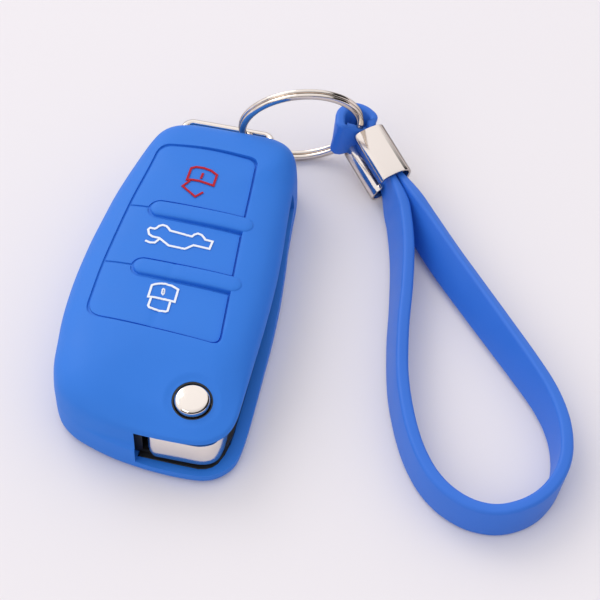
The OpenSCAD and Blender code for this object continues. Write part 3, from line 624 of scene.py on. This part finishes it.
def build_cover():
    press_dish(skin_form)
    cover = place("silicone_cover", skin_form)
    combine(cover, prism(panel_outline(0), COVER_H - COVER_FRONT - 2, COVER_H + 3))
    combine(cover, loft(form_rings(COVER_WALL, COVER_BACK, COVER_H - COVER_FRONT, 3, 2)))
    half = COVER_L / 2
    side = [
        (-half - PAST, LIP_LOW), (-half * 0.6, LIP_LOW),
        (half * 0.3, LIP_LOW + 0.8 * (LIP_HIGH - LIP_LOW)), (half * 0.7, LIP_HIGH),
        (half * 0.7, SLIT_HIGH), (0, SLIT_HIGH), (-half * 0.5, WINDOW_HIGH),
        (-half - PAST, WINDOW_HIGH)]
    combine(cover, swept([(COVER_W * 0.12, y, z) for y, z in side], (COVER_W / 2, 0, 0)))
    window = [(LIP_LEFT, -half - PAST), (LIP_LEFT, -38.4), (0.2, -35.5), (0.2, -28), (22, -28),
              (22, -half - PAST)]
    combine(cover, prism(window, LIP_LOW, WINDOW_HIGH))
    gap = BAIL_D + 2 * BAIL_ROOM
    combine(cover, block((BAIL_X - BAIL_W / 2 - BAIL_ROOM, COVER_L * 0.38, BAIL_Z - gap / 2),
                         (BAIL_X + BAIL_W / 2 + BAIL_ROOM, COVER_L * 0.58, BAIL_Z + gap / 2)))
    combine(cover, prism(LIP_INSIDE, COVER_BACK, LIP_LOW + 1))
    combine(cover, cylinder(*PIVOT, WINDOW_HIGH - 1, COVER_H + 2, RELEASE_HOLE_D / 2))
    soften(cover, 0.3, 42, 4)
    shade(cover, 40)
    finish_piece(cover, "fob", "blue_silicone", silicone, "cover")
    # the black edge stays clear of the lip's right, left and outer sides
    inside = [(x - 0.12 * (x > 16) + 0.1 * (x < 2), y + 0.12 * (y < -35)) for x, y in LIP_INSIDE]
    edge = soften(place("shell_edge", prism(inside, COVER_BACK + 0.05, LIP_LOW - 0.12)), 0.2)
    finish_piece(shade(edge), "fob", "black_plastic", black_plastic)


build_cover()


def sheet_block(corners, drop, thick, step=0.8):
    """Block whose top follows the front of the cover, sunk by drop(x) millimetres."""
    (x0, y0), (x1, y1) = corners
    nx, ny = round((x1 - x0) / step), round((y1 - y0) / step)
    bm = bmesh.new()
    bmesh.ops.create_grid(bm, x_segments=nx, y_segments=ny, size=0.5)
    for v in bm.verts:
        x = x0 + (v.co.x + 0.5) * (x1 - x0)
        y = y0 + (v.co.y + 0.5) * (y1 - y0)
        v.co = metres((x, y, skin_height(x, y) - drop(x)))
    return thicken(bm, list(bm.faces), (0, 0, -thick))


def pad_drop(x):
    """The pads are nearly flush at the panel's left and sunk at its right."""
    return 0.16 + 0.42 * ease((x + 15) / 28)


def web_drop(x):
    """How deep the bottom of the grooves lies under the front."""
    return pad_drop(x) + 0.22 + 0.25 * ease((x + 15) / 28)


PAD_BANDS = {
    "unlock": (BARS[0][0] * COVER_L + GROOVE_W / 2, 34.0),
    "boot": (BARS[1][0] * COVER_L + GROOVE_W / 2, BARS[0][0] * COVER_L - GROOVE_W / 2),
    "lock": (-19.5, BARS[1][0] * COVER_L - GROOVE_W / 2)}


def pad_solid(name, inset):
    low, high = PAD_BANDS[name]
    pad = place(name + "_pad_top", sheet_block(((-18, low - inset + GROOVE_W),
                                                (15, high + inset - GROOVE_W)), pad_drop, 1.1))
    combine(pad, prism(panel_outline(inset), 5, 30), "INTERSECT")
    for bar in BARS:
        combine(pad, prism(bar_outline(bar, inset + BAR_GROOVE, BAR_GROOVE), 5, 30))
    return pad


def build_pads():
    for name in PAD_BANDS:
        pad = soften(pad_solid(name, GROOVE_W), 0.36, 45, 4)
        finish_piece(shade(pad, 40), name + "_cap", "blue_silicone", silicone, name + "_pad")


build_pads()


WEB_UNDER, WEB_LAP = 0.3, 0.03  # how far the web goes under the cover and under the pads


def build_groove_web():
    """The thin web at the bottom of the grooves, which joins the pads to the cover."""
    web = place("groove_web", sheet_block(((-17, -18.5), (14, 33)), web_drop, 0.35))
    combine(web, prism(panel_outline(-WEB_UNDER), 5, 30), "INTERSECT")
    for name, (low, high) in PAD_BANDS.items():
        hole = place("hole", prism(panel_outline(GROOVE_W - WEB_LAP), 5, 30))
        combine(hole, block((-30, low - WEB_LAP if name != "lock" else -40, 4),
                            (30, high + WEB_LAP if name != "unlock" else 40, 31)), "INTERSECT")
        for bar in BARS:
            outline = bar_outline(bar, GROOVE_W - WEB_LAP + BAR_GROOVE, BAR_GROOVE)
            combine(hole, prism(outline, 4, 31))
        tool = bmesh.new()
        tool.from_mesh(hole.data)
        bpy.data.objects.remove(hole)
        combine(web, tool)
    finish_piece(shade(web), "fob", "blue_silicone", silicone)


build_groove_web()


def build_bars():
    """Round bars between the pads, which stand proud of the front of the cover."""
    radius, sunk = BAR_W / 2, 0.35
    for name, bar in zip(("upper_bar", "lower_bar"), BARS):
        y, left, right = bar[0] * COVER_L, bar[1] * COVER_W, bar[2] * COVER_W
        stations = [left + radius * (1 - math.cos(math.radians(a))) for a in range(0, 91, 9)]
        stations += [left + radius + (right - left - 2 * radius) * k / 24 for k in range(1, 24)]
        stations += [right - radius * (1 - math.cos(math.radians(a))) for a in range(90, -1, -9)]
        rings = []
        for x in stations:
            edge = min(x - left, right - x, radius)
            half = max(math.sqrt(max(radius ** 2 - (radius - edge) ** 2, 0)), 0.06)
            full = half / radius
            rise = (0.5 - 0.12 * ease((x - left) / (right - left))) * full ** 0.7
            ring = []
            for a in range(0, 181, 10):
                c, h = math.cos(math.radians(a)), math.sin(math.radians(a))
                off = half * math.copysign(abs(c) ** 0.85, c)
                ring.append((x, y + off,
                             skin_height(x, y + off) - sunk + (rise + sunk) * h ** 0.55))
            rings.append(ring + [(x, y - half, COVER_H - 2), (x, y + half, COVER_H - 2)])
        piece = place(name, loft(rings))
        finish_piece(shade(piece, 50), "fob", "blue_silicone", silicone)


build_bars()

# ---- printed signs on the pads ----


def ribbon(points, width, closed=False, lift=0.055, thick=0.14):
    """Flat printed line of even width that follows the pads."""
    n = len(points)
    left, right = [], []
    for i, p in enumerate(points):
        before = points[i - 1] if closed or i else points[0]
        after = points[(i + 1) % n] if closed or i < n - 1 else points[-1]
        a = Vector(p) - Vector(before)
        b = Vector(after) - Vector(p)
        a = a.normalized() if a.length > 1e-6 else b.normalized()
        b = b.normalized() if b.length > 1e-6 else a
        way = (a + b).normalized()
        out = Vector((-way.y, way.x)) * (width / 2 / max(way.dot(a), 0.5))
        left.append(Vector(p) + out)
        right.append(Vector(p) - out)
    bm = bmesh.new()
    draw = add_ring if closed else add_chain
    edges = []
    for side in (left, right):
        edges += draw(bm, [(q.x, q.y, skin_height(*q) - pad_drop(q.x) + lift) for q in side])
    bmesh.ops.bridge_loops(bm, edges=edges)
    bmesh.ops.recalc_face_normals(bm, faces=bm.faces)
    bmesh.ops.solidify(bm, geom=list(bm.faces), thickness=-thick * 0.001)
    return bm


def join_lines(name, lines):
    whole = bmesh.new()
    for bm in lines:
        mesh = bpy.data.meshes.new("line")
        bm.to_mesh(mesh)
        bm.free()
        whole.from_mesh(mesh)
        bpy.data.meshes.remove(mesh)
    return place(name, whole)


def fine(points, closed=False, step=0.35):
    """The same line with points close together, so that it lies on the pad."""
    out = []
    ends = points + [points[0]] if closed else points
    for p, q in zip(ends, ends[1:]):
        a, b = Vector(p), Vector(q)
        count = max(1, round((b - a).length / step))
        out += [tuple(a.lerp(b, k / count)) for k in range(count)]
    return out if closed else out + [tuple(ends[-1])]


LINE_W = 0.44


def pad_point(px, py):
    """Point of the pads that the camera sees at a place of its view, in pixels."""
    eye = camera.location
    middle = VIEW_SIDE / 2
    ray = camera.rotation_quaternion @ Vector(
        ((px - middle) / VIEW_FOCAL, (middle - py) / VIEW_FOCAL, -1))
    z = COVER_H
    for _ in range(4):
        hit = (eye + ray * ((z * 0.001 - eye.z) / ray.z)) * 1000
        z = skin_height(hit.x, hit.y) - pad_drop(hit.x)
    return (hit.x, hit.y)


def seen(*places):
    return [pad_point(*p) for p in places]


def sign_line(points, width=LINE_W, closed=False):
    return ribbon(fine(points, closed), width, closed)


def build_signs():
    unlock = [
        sign_line(seen((191.4, 168.4), (196.5, 167.3), (203.9, 168.4), (211.2, 171.1),
                       (217.0, 175.5), (213.4, 186.0), (199.5, 181.3), (192.1, 180.1),
                       (187.0, 179.9)), LINE_W * 1.1, True),
        sign_line(seen((203.1, 173.6), (200.9, 179.0)), LINE_W * 1.1),
        sign_line(seen((190, 181), (182.6, 186.4), (195.1, 197.0), (203.1, 192.6)))]
    finish_piece(join_lines("unlock_sign", unlock), "unlock_cap", "blue_silicone", red_print)
    lock = [
        sign_line(seen((151.9, 285.6), (155, 284.6), (158.5, 284.1), (162.2, 284.0),
                       (165.8, 284.3), (171.6, 286.1), (178.2, 290.0), (174.6, 302.4),
                       (163.5, 299.8), (154.1, 297.6), (148.2, 297.0)), LINE_W, True),
        sign_line(seen((161.8, 293.9), (162.5, 289.9), (163.3, 289.2), (164.4, 289.6),
                       (163.9, 294.0), (162.9, 294.9)), LINE_W * 0.6, True),
        sign_line(seen((151.1, 298), (148.2, 305.8), (149.2, 307.7), (157, 310.5),
                       (165.8, 312.0), (167.6, 311.3), (170.2, 302.4)), LINE_W)]
    finish_piece(join_lines("lock_sign", lock), "lock_cap", "blue_silicone", white_print)
    boot = [
        sign_line(seen((159.2, 238.4), (152.6, 237.0), (149.1, 234.6), (148.2, 229.9),
                       (150.4, 228.2), (154.8, 229.2), (157, 228.2), (159.2, 226.4),
                       (162.9, 225.5), (166.5, 226.6), (168.7, 228.8), (170.2, 231.1),
                       (192.1, 237.0), (194.3, 235.1), (198.0, 234.0), (201.7, 235.5),
                       (203.9, 238.0), (205.3, 240.2), (212.6, 242.1), (209.4, 249.4),
                       (193.6, 245.7), (184.8, 249.3), (168.7, 246.0)), LINE_W, True),
        sign_line(seen((145.3, 240.9), (149.7, 242.8), (154.8, 243.1), (159.5, 239.4)),
                  LINE_W)]
    finish_piece(join_lines("boot_sign", boot), "boot_cap", "blue_silicone", white_print)


build_signs()

# ---- hub, button and fob ----


# corners from the axis it turns on, each with its rounding
HUB = [(7.2, -8.2, 4.9), (7.2, 4, 1), (6.4, 8.2, 1.6), (-2.3, 8.2, 1.6), (-7.5, 3, 2),
       (-7.5, -8.3, 2.2)]


HUB_RINGS = [(4.4, 0.965), (6.2, 1.0), (10.6, 0.975)]  # height, share of the outline
HUB_STEP, HUB_TOP, HUB_FLOOR = 0.74, 11.6, 6.8
BUTTON_BORE_R, POST_BORE_R = 4.3, 2.05
BLADE_SEAT = ((8.55, -24.7, 8.65), (16.65, -15.0, 10.75))


def build_hub():
    """Hub with its raised step, the button's bore, the post's bore and the blade's seat."""
    outline = rounded_outline(HUB)

    def around(share):
        return [(PIVOT[0] + share * p.x, PIVOT[1] + share * p.y) for p in outline]

    hub = place("hub_cover", loft([[(x, y, z) for x, y in around(k)] for z, k in HUB_RINGS]))
    combine(hub, prism(around(HUB_STEP), 10, HUB_TOP), "UNION")
    combine(hub, cylinder(*PIVOT, HUB_FLOOR, 13, BUTTON_BORE_R))
    combine(hub, cylinder(*PIVOT, 3, 8, POST_BORE_R))
    combine(hub, block(*BLADE_SEAT))
    soften(hub, 0.5, 50, 5)
    finish_piece(shade(hub, 30), "blade", "hub_chrome", hub_chrome, "blade_hub")


build_hub()


BUTTON_R, FLANGE_R, FLANGE_T, BUTTON_SUNK = 3.5, 4.1, 0.5, 0.6
COLLAR_SUNK = 0.2
PIN_TOP, PIN_R = 10.6, 0.8


def build_button():
    """Button with its flange, and the black collar that follows the cover round its hole."""
    low, top = [corner.z * 1000 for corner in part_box("release_button")]
    top -= BUTTON_SUNK
    profile = [(0, low), (FLANGE_R, low), (FLANGE_R, low + FLANGE_T),
               (BUTTON_R, low + FLANGE_T), (BUTTON_R, top - 0.6),
               (3.42, top - 0.42), (3.1, top - 0.12), (2.95, top - 0.03), (2.6, top), (0, top)]
    button = place("release_button_head", turned(profile, *PIVOT))
    finish_piece(shade(button, 30), "release", "button_chrome", chrome, "release_button")
    collar = turned([(3.66, -2.4), (4.08, -2.4), (4.08, 0), (3.98, 0.08), (3.74, 0.08),
                     (3.66, 0), (3.66, -2.4)], *PIVOT)
    for v in collar.verts:
        x, y, z = v.co * 1000
        v.co.z = (z + skin_height(x, y, 0.4) - DISH_DEPTH - COLLAR_SUNK) * 0.001
    ring = place("button_collar", collar)
    finish_piece(shade(ring, 30), "fob", "black_plastic", black_plastic)


build_button()


def build_inner_parts():
    """The button's spring under it, and the pin that holds the blade."""
    low, high = [corner * 1000 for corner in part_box("button_spring")]
    wire, turns, steps = 0.25, 5, 24
    coil = (high.x - low.x) / 2 - wire
    rings = []
    for i in range(turns * steps + 1):
        turn = 2 * math.pi * i / steps
        out = Vector((math.cos(turn), math.sin(turn), 0))
        centre = Vector((*PIVOT, low.z + wire)) + out * coil
        centre.z += (high.z - low.z - 2 * wire) * i / (turns * steps)
        rings.append([centre + wire * (out * math.cos(a) + Vector((0, 0, math.sin(a))))
                      for a in (math.radians(k * 36) for k in range(10))])
    spring = place("button_spring_coil", loft(rings))
    finish_piece(shade(spring, 50), "fob", "blade_steel", blade_steel, "button_spring")
    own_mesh(spring)
    low, high = [corner * 1000 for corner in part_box("blade_pin")]
    middle = (low + high) / 2
    pin = place("blade_cross_pin", cylinder(middle.x, middle.y, low.z, PIN_TOP, PIN_R, 48))
    finish_piece(shade(soften(pin, 0.15)), "blade", "blade_steel", blade_steel, "blade_pin")


build_inner_parts()

# ---- split ring ----

RING_R, RING_TURN, RING_LEAN = 12.5, math.radians(17.9), math.radians(11.6)
RING_AT = Vector((14.2, BAIL_Y + 0.6, 13.35))
RING_ACROSS = Vector((math.cos(RING_TURN), math.sin(RING_TURN), 0))
RING_UP = Vector((math.sin(RING_TURN) * math.sin(RING_LEAN),
                  -math.cos(RING_TURN) * math.sin(RING_LEAN), math.cos(RING_LEAN)))
RING_OUT = RING_ACROSS.cross(RING_UP)


RING_STEP, WIRE_UP, WIRE_OUT = 1.02, 0.96, 0.75  # of the wire: spacing, height, half width
RING_FROM, RING_DEGREES, SWEEP = 240, 705, 2.5


def build_ring():
    """Two turns of squared wire that change level once; both ends are pinched."""
    section = []
    for a in range(0, 360, 12):
        c, s = math.cos(math.radians(a)), math.sin(math.radians(a))
        section.append((WIRE_OUT * math.copysign(abs(c) ** 0.7, c),
                        WIRE_UP / 2 * math.copysign(abs(s) ** 0.7, s)))
    rings = []
    for i in range(round(RING_DEGREES / SWEEP) + 1):
        a = i * SWEEP
        level = RING_STEP * (ease((a - 320) / 40) - 0.5)
        turn = math.radians(a + RING_FROM)
        ring = []
        end = clip(min(a, RING_DEGREES - a) / 4, 0.25, 1)
        for out, up in section:
            r = RING_R + out * end
            p = (RING_AT + RING_ACROSS * (r * math.cos(turn)) + RING_UP * (r * math.sin(turn))
                 + RING_OUT * (level + up))
            ring.append(p)
        rings.append(ring)
    ring = place("double_ring", loft(rings))
    finish_piece(shade(ring, 50), "ring", "ring_chrome", ring_chrome, "split_ring")


build_ring()

# ---- strap and clamp ----

BAND_W, BAND_T, LOOP_L, LOOP_W, LOOP_TURN = 8.1, 2.6, 84.0, 29.6, math.radians(-62.2)
CLAMP_L, CLAMP_TURN = 12.1, math.radians(132.6)
CLAMP_PITCH, CLAMP_ROLL = math.radians(13.2), math.radians(12)
CLAMP_SHEET, SQUEEZE, LAYER_GAP, MOUTH_STEP = 0.5, 0.66, 0.25, 0.22
NARROWED, FOLD_SQUEEZE, BUTT_GAP, FOLD_TIP = 0.84, 0.8, 0.02, math.radians(20)
FOLD_AT, FOLD_CLEAR, MOUTH_GAP, MOUTH_SIDE = math.radians(-21.7), 1.8, 1.8, 1.5
CLAMP_ALONG = Vector((
    math.cos(CLAMP_TURN) * math.cos(CLAMP_PITCH), math.sin(CLAMP_TURN) * math.cos(CLAMP_PITCH),
    math.sin(CLAMP_PITCH)))
FLAT_ACROSS = CLAMP_ALONG.cross(Vector((0, 0, 1))).normalized()
FLAT_UP = FLAT_ACROSS.cross(CLAMP_ALONG)
CLAMP_ACROSS = FLAT_ACROSS * math.cos(CLAMP_ROLL) - FLAT_UP * math.sin(CLAMP_ROLL)
CLAMP_UP = FLAT_UP * math.cos(CLAMP_ROLL) + FLAT_ACROSS * math.sin(CLAMP_ROLL)
FOLD_POINT = RING_AT + RING_R * (math.cos(FOLD_AT) * RING_ACROSS + math.sin(FOLD_AT) * RING_UP)
CLAMP_AT = FOLD_POINT - (CLAMP_L + MOUTH_GAP) * CLAMP_ALONG + MOUTH_SIDE * CLAMP_ACROSS
LOOP_GAP, LOOP_SHIFT = 0.9, Vector((0.1, 1.0))
LOOP_FROM = Vector(CLAMP_AT[:2]) - LOOP_GAP * Vector(CLAMP_ALONG[:2]) - LOOP_SHIFT
SQUEEZED_T = BAND_T * SQUEEZE
LAYER_OFF = (SQUEEZED_T + LAYER_GAP) / 2
WIRES_H = 2.05  # what the fold goes round: the ring's two turns
FOLD_R = WIRES_H / 2 + FOLD_CLEAR + SQUEEZED_T / 2
# share along the loop, share across it, lean in degrees, lift in band widths
LOOP = [
    (0.05, 0.078, 22, 0.06), (0.12, 0.115, 32, 0.03), (0.24, 0.185, 36, 0.01),
    (0.35, 0.26, 34, 0), (0.48, 0.35, 29, 0), (0.6, 0.432, 24, 0), (0.69, 0.485, 19, 0),
    (0.765, 0.5, 15, 0), (0.83, 0.478, 13, 0), (0.89, 0.42, 12, 0), (0.94, 0.32, 10, 0),
    (0.977, 0.18, 7, 0), (0.992, 0.03, 3, 0), (0.988, -0.12, 0, 0), (0.962, -0.26, 2, 0),
    (0.918, -0.37, 4, 0), (0.865, -0.44, 6, 0), (0.805, -0.475, 8, 0), (0.735, -0.483, 10, 0),
    (0.65, -0.463, 12, 0), (0.56, -0.418, 14, 0), (0.44, -0.32, 17, 0), (0.32, -0.2, 20, 0),
    (0.2, -0.095, 22, 0.01), (0.1, -0.035, 22, 0.03), (0.05, -0.02, 20, 0.06)]


def strap_route():
    """Places along the strap's middle, each with the way its edge stands and its thickness."""
    loop_way = Vector((math.cos(LOOP_TURN), math.sin(LOOP_TURN)))
    loop_side = Vector((-loop_way.y, loop_way.x))

    def on_loop(along, across, lean, lift):
        lean = math.radians(lean)
        p = LOOP_FROM + loop_way * (along * LOOP_L) + loop_side * (across * LOOP_W)
        z = (BAND_W * math.cos(lean) + BAND_T * math.sin(lean)) / 2 + BAND_W * lift
        return (p.x, p.y, z, loop_side.x * math.sin(lean), loop_side.y * math.sin(lean),
                math.cos(lean), 1, 1)

    def in_clamp(along, across, thick=SQUEEZE, wide=NARROWED, tip=0):
        p = CLAMP_AT + CLAMP_ALONG * along + CLAMP_ACROSS * across
        return (*p, *(CLAMP_UP * math.cos(tip) + CLAMP_ALONG * math.sin(tip)), thick, wide)

    fold = CLAMP_L + MOUTH_GAP
    butt, inside = CLAMP_L / 2, CLAMP_L * 0.12
    route = [in_clamp(s, -LAYER_OFF)
             for s in (butt + BUTT_GAP, CLAMP_L - inside, CLAMP_L, CLAMP_L + 2 * MOUTH_STEP)]
    route += [in_clamp(fold + FOLD_R * math.cos(math.radians(a)),
                       FOLD_R * math.sin(math.radians(a)) - MOUTH_SIDE, FOLD_SQUEEZE, 1, FOLD_TIP)
              for a in range(-90, 91, 30)]
    route += [in_clamp(s, LAYER_OFF)
              for s in (CLAMP_L + 2 * MOUTH_STEP, CLAMP_L, CLAMP_L - inside, inside,
                        -MOUTH_STEP)]
    route += [on_loop(*s) for s in LOOP]
    route += [in_clamp(s, -LAYER_OFF) for s in (-MOUTH_STEP, inside, butt - BUTT_GAP)]
    return open_curve(route, 6)


def build_strap():
    """Flat band with rounded edges, carried along the route."""
    line = strap_route()
    edge = 0.75
    corner = []
    for sx, sy, start in ((1, 1, 0), (-1, 1, 90), (-1, -1, 180), (1, -1, 270)):
        for a in (0, 22.5, 45, 67.5, 90):
            t = math.radians(start + a)
            corner.append((sx, sy, math.cos(t), math.sin(t)))
    rings = []
    for i, q in enumerate(line):
        a, b = line[max(i - 1, 0)], line[min(i + 1, len(line) - 1)]
        way = (Vector(b[:3]) - Vector(a[:3])).normalized()
        up = Vector(q[3:6])
        up = (up - up.dot(way) * way).normalized()
        side = way.cross(up)
        w, k = BAND_W * q[7] / 2 - edge, BAND_T * q[6] / 2 - edge
        rings.append([
            Vector(q[:3]) + up * (sx * w + edge * c) + side * (sy * k + edge * s)
            for sx, sy, c, s in corner])
    strap = place("wrist_band", loft(rings))
    finish_piece(shade(strap, 50), "wrist_strap", "blue_silicone", strap_silicone, "strap")


build_strap()


def build_clamp():
    """Chrome sheet rolled round the two layers, open along a seam on its left."""
    def section(tab):
        """Sheet's line across the clamp; the tab stands out from its lower edge."""
        edge = [Vector(p).lerp(Vector(q), tab)
                for p, q in (((-1.7, -1.15), (-2.5, 0.2)), ((-2.2, -0.9), (-2.7, -0.6)))]
        return open_curve([
            *edge, (-3.5, -1.1), (-4.15, -2.2), (-4.3, -3.3), (-3.5, -4.1), (-0.5, -4.2),
            (2.2, -4.1), (3.1, -3.3), (3.7, 0), (3.9, 2.0), (3.5, 3.1), (2.5, 3.9), (1.2, 4.2),
            (0, 4.25), (-1.7, 3.95), (-2.4, 3.6), (-2.85, 3.0), (-2.8, 2.5)], 5)

    bm = bmesh.new()
    chains = [
        add_chain(bm, [CLAMP_AT + CLAMP_ALONG * s + FLAT_ACROSS * x + FLAT_UP * y
                       for x, y in section(tab)])
        for s, tab in ((0, 1), (0.9, 1), (1.3, 0), (CLAMP_L, 0))]
    for low, high in zip(chains, chains[1:]):
        bmesh.ops.bridge_loops(bm, edges=low + high)
    bmesh.ops.recalc_face_normals(bm, faces=bm.faces)
    clamp = place("clamp_sheet", bm)
    wall = clamp.modifiers.new("wall", "SOLIDIFY")
    wall.thickness = CLAMP_SHEET * 0.001
    wall.offset = 0
    bake_modifiers(clamp)
    soften(clamp, 0.12, 60, 3)
    finish_piece(shade(clamp, 35), "wrist_strap", "clamp_chrome", clamp_chrome, "strap_clamp")


build_clamp()

# ---- finishes of the pieces that stay as they are ----

CAD_FINISHES = {
    "front_shell": black_plastic, "rear_shell": black_plastic, "keypad": pad_rubber,
    "unlock_key": key_rubber, "boot_key": key_rubber, "lock_key": key_rubber,
    "circuit_board": board_mask, "tact_switches": pale_plastic, "radio_chip": chip_plastic,
    "control_chip": chip_plastic, "antenna_coil": copper, "indicator_led": led_plastic,
    "battery": cell_steel, "battery_clip_plus": brass, "battery_clip_minus": brass,
    "case_screw": blade_steel, "pivot_post": blade_steel, "key_blade": blade_steel,
    "flip_spring": blade_steel, "ring_bail": chrome}
for name, material in CAD_FINISHES.items():
    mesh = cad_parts[name].data
    if not mesh.materials:
        mesh.materials.append(material)
    for i in range(len(mesh.materials)):
        mesh.materials[i] = material
